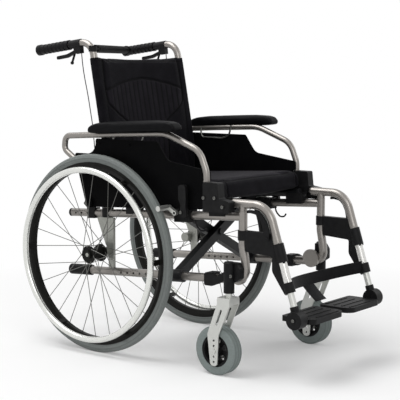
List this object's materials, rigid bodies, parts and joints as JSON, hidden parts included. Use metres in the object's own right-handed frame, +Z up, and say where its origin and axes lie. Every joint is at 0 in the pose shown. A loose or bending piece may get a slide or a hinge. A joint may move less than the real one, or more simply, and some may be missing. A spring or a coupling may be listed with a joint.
{
  "type": "wheelchair",
  "caption": "Manual folding wheelchair with scissor frame, spoked rear wheels with handrims, casters, flip-back armrests and swing-away footrests",
  "frame": {"origin": "on the floor in the middle of the bounding box", "axes": "+X to the sitter's left, -Y forward, +Z up"},
  "size_m": [0.617, 1.05, 0.959],
  "materials": {
    "champagne_paint": "satin",
    "grey_metal": "satin",
    "steel": "satin",
    "black_plastic": "satin",
    "black_rubber": "matt",
    "tyre_rubber": "matt",
    "black_fabric": "matt"
  },
  "bodies": {
    "frame_right": {"side_frame_right": "champagne_paint", "back_post_right": "champagne_paint", "axle_plate_right": "grey_metal", "frame_fittings_right": "black_plastic", "push_grip_right": "black_rubber", "brake_perch_right": "black_plastic", "brake_cable_right": "black_plastic", "backrest": "black_fabric"},
    "wheel_right": {"tyre_right": "tyre_rubber", "rim_hub_right": "black_plastic", "handrim_right": "grey_metal", "spokes_right": "steel"},
    "caster_swivel_right": {"caster_fork_right": "black_plastic"},
    "caster_wheel_right": {"caster_tyre_right": "tyre_rubber", "caster_hub_right": "black_plastic"},
    "armrest_right": {"armrest_tube_right": "champagne_paint", "armrest_pad_right": "black_fabric", "side_panel_right": "black_plastic"},
    "lock_right": {"lock_lever_right": "black_plastic"},
    "shoe_right": {"lock_shoe_right": "steel"},
    "hanger_right": {"hanger_tube_right": "champagne_paint", "hanger_bracket_right": "black_plastic", "hanger_lower_tube_right": "steel", "straps": "black_fabric"},
    "release_right": {"release_lever_right": "steel"},
    "leg_right": {"leg_tube_right": "steel", "footplate_knuckle_right": "black_plastic"},
    "plate_right": {"footplate_right": "black_plastic"},
    "attendant_lever_right": {"brake_lever_right": "black_plastic"},
    "frame_left": {"side_frame_left": "champagne_paint", "back_post_left": "champagne_paint", "axle_plate_left": "grey_metal", "frame_fittings_left": "black_plastic", "push_grip_left": "black_rubber", "brake_perch_left": "black_plastic", "brake_cable_left": "black_plastic"},
    "wheel_left": {"tyre_left": "tyre_rubber", "rim_hub_left": "black_plastic", "handrim_left": "grey_metal", "spokes_left": "steel"},
    "caster_swivel_left": {"caster_fork_left": "black_plastic"},
    "caster_wheel_left": {"caster_tyre_left": "tyre_rubber", "caster_hub_left": "black_plastic"},
    "armrest_left": {"armrest_tube_left": "champagne_paint", "armrest_pad_left": "black_fabric", "side_panel_left": "black_plastic"},
    "lock_left": {"lock_lever_left": "black_plastic"},
    "shoe_left": {"lock_shoe_left": "steel"},
    "hanger_left": {"hanger_tube_left": "champagne_paint", "hanger_bracket_left": "black_plastic", "hanger_lower_tube_left": "steel"},
    "release_left": {"release_lever_left": "steel"},
    "leg_left": {"leg_tube_left": "steel", "footplate_knuckle_left": "black_plastic"},
    "plate_left": {"footplate_left": "black_plastic"},
    "attendant_lever_left": {"brake_lever_left": "black_plastic"},
    "scissor_a": {"brace_a": "black_plastic"},
    "scissor_b": {"brace_b": "black_plastic", "seat": "black_fabric"},
    "bar_body": {"stabiliser_bar": "black_plastic"}
  },
  "joints": [
    {"name": "wheel_spin_right", "type": "hinge", "parent": "frame_right", "child": "wheel_right", "pos_m": [-0.256, 0.22, 0.305], "axis": [1, 0, 0], "continuous": true},
    {"name": "caster_swivel_right", "type": "hinge", "parent": "frame_right", "child": "caster_swivel_right", "pos_m": [-0.241, -0.28, 0.28], "axis": [0, 0, 1], "continuous": true},
    {"name": "caster_roll_right", "type": "hinge", "parent": "caster_swivel_right", "child": "caster_wheel_right", "pos_m": [-0.241, -0.244, 0.071], "axis": [1, 0, 0], "continuous": true},
    {"name": "armrest_flip_right", "type": "hinge", "parent": "frame_right", "child": "armrest_right", "pos_m": [-0.231, 0.272, 0.455], "axis": [-1, 0, 0], "range_deg": [0, 90]},
    {"name": "lock_swing_right", "type": "hinge", "parent": "frame_right", "child": "lock_right", "pos_m": [-0.235, -0.113, 0.45111], "axis": [1, 0, 0], "range_deg": [0, 45]},
    {"name": "shoe_press_right", "type": "hinge", "parent": "frame_right", "child": "shoe_right", "pos_m": [-0.235, -0.08, 0.45111], "axis": [-1, 0, 0], "range_deg": [0, 14]},
    {"name": "hanger_swing_right", "type": "hinge", "parent": "frame_right", "child": "hanger_right", "pos_m": [-0.204, -0.301, 0.45], "axis": [0, 0, -1], "range_deg": [0, 90], "deforming": ["straps"]},
    {"name": "release_right", "type": "hinge", "parent": "hanger_right", "child": "release_right", "pos_m": [-0.2196, -0.393, 0.405], "axis": [1, 0, 0], "range_deg": [0, 10], "stiffness_Nm_per_rad": 0.5},
    {"name": "leg_slide_right", "type": "slide", "parent": "hanger_right", "child": "leg_right", "axis": [0, -0.309, -0.9511], "range_m": [-0.018, 0.04]},
    {"name": "plate_flip_right", "type": "hinge", "parent": "leg_right", "child": "plate_right", "pos_m": [-0.172, -0.48668, 0.1765], "axis": [0, -1, 0], "range_deg": [0, 91]},
    {"name": "lever_squeeze_right", "type": "hinge", "parent": "frame_right", "child": "attendant_lever_right", "pos_m": [-0.204, 0.331, 0.92215], "axis": [1, 0, 0], "range_deg": [0, 6], "stiffness_Nm_per_rad": 1},
    {"name": "wheel_spin_left", "type": "hinge", "parent": "frame_left", "child": "wheel_left", "pos_m": [0.256, 0.22, 0.305], "axis": [1, 0, 0], "continuous": true},
    {"name": "caster_swivel_left", "type": "hinge", "parent": "frame_left", "child": "caster_swivel_left", "pos_m": [0.241, -0.28, 0.28], "axis": [0, 0, 1], "continuous": true},
    {"name": "caster_roll_left", "type": "hinge", "parent": "caster_swivel_left", "child": "caster_wheel_left", "pos_m": [0.241, -0.244, 0.071], "axis": [1, 0, 0], "continuous": true},
    {"name": "armrest_flip_left", "type": "hinge", "parent": "frame_left", "child": "armrest_left", "pos_m": [0.231, 0.272, 0.455], "axis": [-1, 0, 0], "range_deg": [0, 90]},
    {"name": "lock_swing_left", "type": "hinge", "parent": "frame_left", "child": "lock_left", "pos_m": [0.235, -0.113, 0.45111], "axis": [1, 0, 0], "range_deg": [0, 45]},
    {"name": "shoe_press_left", "type": "hinge", "parent": "frame_left", "child": "shoe_left", "pos_m": [0.235, -0.08, 0.45111], "axis": [-1, 0, 0], "range_deg": [0, 14]},
    {"name": "hanger_swing_left", "type": "hinge", "parent": "frame_left", "child": "hanger_left", "pos_m": [0.204, -0.301, 0.45], "axis": [0, 0, 1], "range_deg": [0, 90], "deforming": ["straps"]},
    {"name": "release_left", "type": "hinge", "parent": "hanger_left", "child": "release_left", "pos_m": [0.2196, -0.393, 0.405], "axis": [1, 0, 0], "range_deg": [0, 10], "stiffness_Nm_per_rad": 0.5},
    {"name": "leg_slide_left", "type": "slide", "parent": "hanger_left", "child": "leg_left", "axis": [0, -0.309, -0.9511], "range_m": [-0.018, 0.04]},
    {"name": "plate_flip_left", "type": "hinge", "parent": "leg_left", "child": "plate_left", "pos_m": [0.172, -0.48668, 0.1765], "axis": [0, 1, 0], "range_deg": [0, 91]},
    {"name": "lever_squeeze_left", "type": "hinge", "parent": "frame_left", "child": "attendant_lever_left", "pos_m": [0.204, 0.331, 0.92215], "axis": [1, 0, 0], "range_deg": [0, 6], "stiffness_Nm_per_rad": 1},
    {"name": "fold", "type": "hinge", "parent": "frame_right", "child": "scissor_a", "pos_m": [-0.204, -0.062, 0.26026], "axis": [0, -0.9983, 0.0576], "range_deg": [0, 38.5], "deforming": ["seat", "backrest", "straps"]},
    {"name": "scissor_cross", "type": "hinge", "parent": "scissor_a", "child": "scissor_b", "pos_m": [0, -0.05573, 0.36904], "axis": [0, -0.9983, 0.0576], "range_deg": [-78, 0]},
    {"name": "left_side_fold", "type": "hinge", "parent": "scissor_b", "child": "frame_left", "pos_m": [0.204, -0.062, 0.26026], "axis": [0, -0.9983, 0.0576], "range_deg": [0, 39]},
    {"name": "bar_swing", "type": "hinge", "parent": "frame_right", "child": "bar_body", "pos_m": [-0.17452, 0.28454, 0.928], "axis": [0, 0, 1], "range_deg": [0, 47]}
  ],
  "couplings": [
    {"joint": "shoe_press_right", "follows": "lock_swing_right", "ratio": 0.3},
    {"joint": "plate_flip_right", "follows": "fold", "ratio": 2.35},
    {"joint": "shoe_press_left", "follows": "lock_swing_left", "ratio": 0.3},
    {"joint": "plate_flip_left", "follows": "fold", "ratio": 2.35},
    {"joint": "scissor_cross", "follows": "fold", "ratio": -2},
    {"joint": "left_side_fold", "follows": "fold", "ratio": 1},
    {"joint": "bar_swing", "follows": "fold", "ratio": 1.2}
  ]
}
